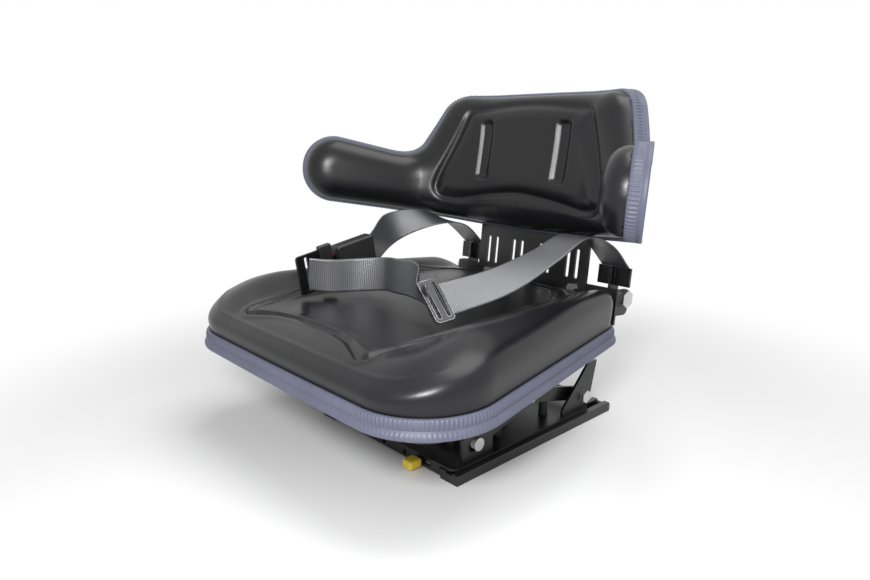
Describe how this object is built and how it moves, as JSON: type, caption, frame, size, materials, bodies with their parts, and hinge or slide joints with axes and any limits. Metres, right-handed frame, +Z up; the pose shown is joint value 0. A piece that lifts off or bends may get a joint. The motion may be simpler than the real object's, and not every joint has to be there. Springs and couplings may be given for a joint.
{
  "type": "operator seat",
  "caption": "Operator seat for a tractor or garden machine: vinyl cushion and wrap-around backrest on a scissor suspension with fore-and-aft slide rails, with a lap belt.",
  "frame": {"origin": "centre of the four mounting holes, on the underside of the slide rails", "axes": "+Z up, the seat faces -Y, its left side is +X"},
  "size_m": [0.6514, 0.5128, 0.4903],
  "materials": {
    "black_paint": "semi-gloss black paint on pressed steel",
    "zinc_steel": "zinc-plated steel",
    "black_plastic": "moulded plastic",
    "nylon": "natural nylon",
    "yellow_plastic": "moulded grip",
    "red_plastic": "moulded push button",
    "black_rubber": "rubber",
    "black_vinyl": "grained semi-gloss vinyl over moulded foam",
    "grey_trim": "ribbed vinyl edge strip",
    "webbing": "woven belt webbing with a sheen"
  },
  "bodies": {
    "base": {"slide_rail_left": "black_paint", "slide_rail_right": "black_paint", "rail_end_plugs": "black_plastic"},
    "carriage": {"slide_runner_left": "black_paint", "slide_runner_right": "black_paint", "glide_shoes": "nylon", "base_tray": "black_paint", "rear_cheek_left": "black_paint", "rear_cheek_right": "black_paint", "front_guide_left": "black_paint", "front_guide_right": "black_paint", "rear_pivot_bolt": "zinc_steel", "bump_stops": "black_rubber", "lever_pivot_bolt": "zinc_steel", "suspension_spring_left": "black_paint", "suspension_spring_right": "black_paint"},
    "lever": {"slide_lever": "black_paint", "lever_grip": "yellow_plastic"},
    "inner_arms": {"inner_arm_left": "black_paint", "inner_arm_right": "black_paint", "upper_axle": "zinc_steel", "upper_rollers": "nylon", "centre_pivots": "zinc_steel"},
    "outer_arms": {"outer_arm_left": "black_paint", "outer_arm_right": "black_paint", "lower_axle": "zinc_steel", "lower_rollers": "nylon"},
    "button": {"buckle_button": "red_plastic"},
    "seat": {"back_bolts": "zinc_steel", "back_cushion": "black_vinyl", "back_edge_strip": "grey_trim", "back_shell": "black_paint", "belt_adjuster": "zinc_steel", "belt_anchor_bolt_left": "zinc_steel", "belt_anchor_bolt_right": "zinc_steel", "belt_anchor_bush_left": "zinc_steel", "belt_anchor_bush_right": "zinc_steel", "belt_anchor_plate_left": "zinc_steel", "belt_anchor_plate_right": "zinc_steel", "belt_strap_lap": "webbing", "belt_strap_left": "webbing", "belt_strap_right": "webbing", "belt_tongue": "zinc_steel", "buckle_body": "black_plastic", "cross_plate_bolts": "zinc_steel", "pan_bolts": "zinc_steel", "rear_cross_plate": "black_paint", "seat_cushion": "black_vinyl", "seat_edge_strip": "grey_trim", "seat_pan": "black_paint", "slotted_back_plate": "black_paint", "stem_bolts": "zinc_steel", "tongue_grip": "black_plastic", "upper_frame": "black_paint", "upper_pivot_rod": "zinc_steel"}
  },
  "joints": [
    {"name": "seat_slide", "type": "slide", "parent": "base", "child": "carriage", "axis": [0, 1, 0], "range_m": [-0.033, 0.063]},
    {"name": "slide_lever", "type": "hinge", "parent": "carriage", "child": "lever", "pos_m": [0.076, -0.104, 0.01], "axis": [0, 0, 1], "range_deg": [0, 12], "stiffness_Nm_per_rad": 0.5, "springref_deg": -11.46},
    {"name": "suspension", "type": "slide", "parent": "carriage", "child": "seat", "axis": [0, 0, -1], "range_m": [0, 0.036], "stiffness_N_per_m": 8000, "springref_m": -0.06, "deforming": ["suspension_spring_left", "suspension_spring_right"]},
    {"name": "inner_arm_pivot", "type": "hinge", "parent": "carriage", "child": "inner_arms", "pos_m": [0, 0.118, 0.036], "axis": [1, 0, 0], "range_deg": [0, 8.7]},
    {"name": "outer_arm_pivot", "type": "hinge", "parent": "seat", "child": "outer_arms", "pos_m": [0, 0.118, 0.098], "axis": [-1, 0, 0], "range_deg": [0, 8.7]},
    {"name": "buckle_button", "type": "slide", "parent": "seat", "child": "button", "axis": [-0.0735, 0.9853, 0.1544], "range_m": [0, 0.003], "stiffness_N_per_m": 600, "springref_m": -0.003}
  ],
  "couplings": [
    {"joint": "inner_arm_pivot", "follows": "suspension", "rad_per_m": 4.17},
    {"joint": "outer_arm_pivot", "follows": "suspension", "rad_per_m": 4.17}
  ]
}
